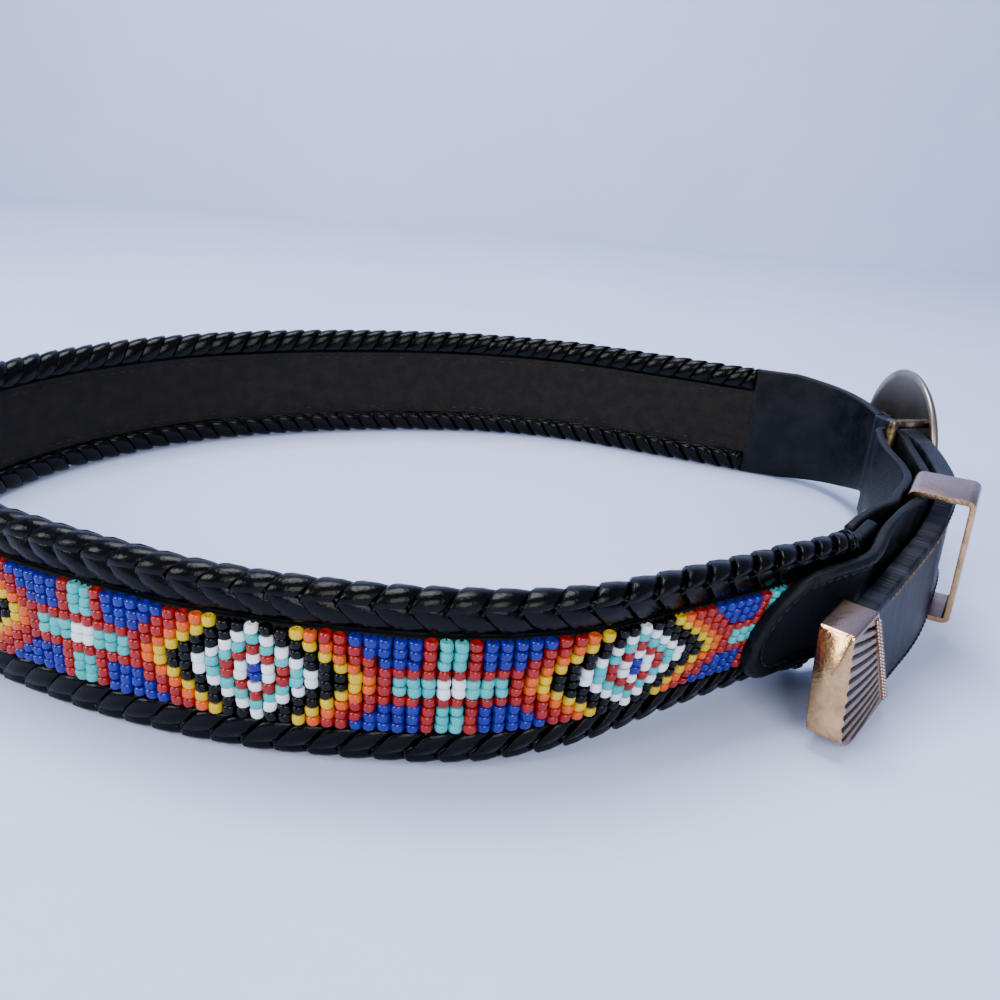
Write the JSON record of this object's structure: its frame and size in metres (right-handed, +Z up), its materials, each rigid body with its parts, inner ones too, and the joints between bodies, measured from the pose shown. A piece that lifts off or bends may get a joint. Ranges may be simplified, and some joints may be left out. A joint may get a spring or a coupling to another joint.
{
  "type": "beaded belt",
  "caption": "Beaded leather belt with black laced edges, diamonds and crosses in coloured seed beads, and a strap, tip, keeper and oval plate buckle in dark bronze-toned metal",
  "frame": {"origin": "middle of the underside of the bounding box, on the surface the belt stands on", "axes": "+X towards the buckle, +Z up, the beaded front towards -Y"},
  "size_m": [0.2754, 0.2096, 0.0511],
  "materials": {
    "black_leather": "worn black leather, satin",
    "lace_leather": "glossy black lacing",
    "beads": "opaque glossy glass beads",
    "bronze_metal": "antiqued, satin",
    "snap_brass": "brushed brass"
  },
  "bodies": {
    "root": {"belt_body": "black_leather", "bead_panel": "beads", "upper_edge_braid": "lace_leather", "lower_edge_braid": "lace_leather", "buckle_strap": "black_leather", "tail_strap": "black_leather", "tip": "bronze_metal", "keeper": "bronze_metal", "buckle_plate": "bronze_metal", "strap_snap": "snap_brass"}
  },
  "joints": []
}
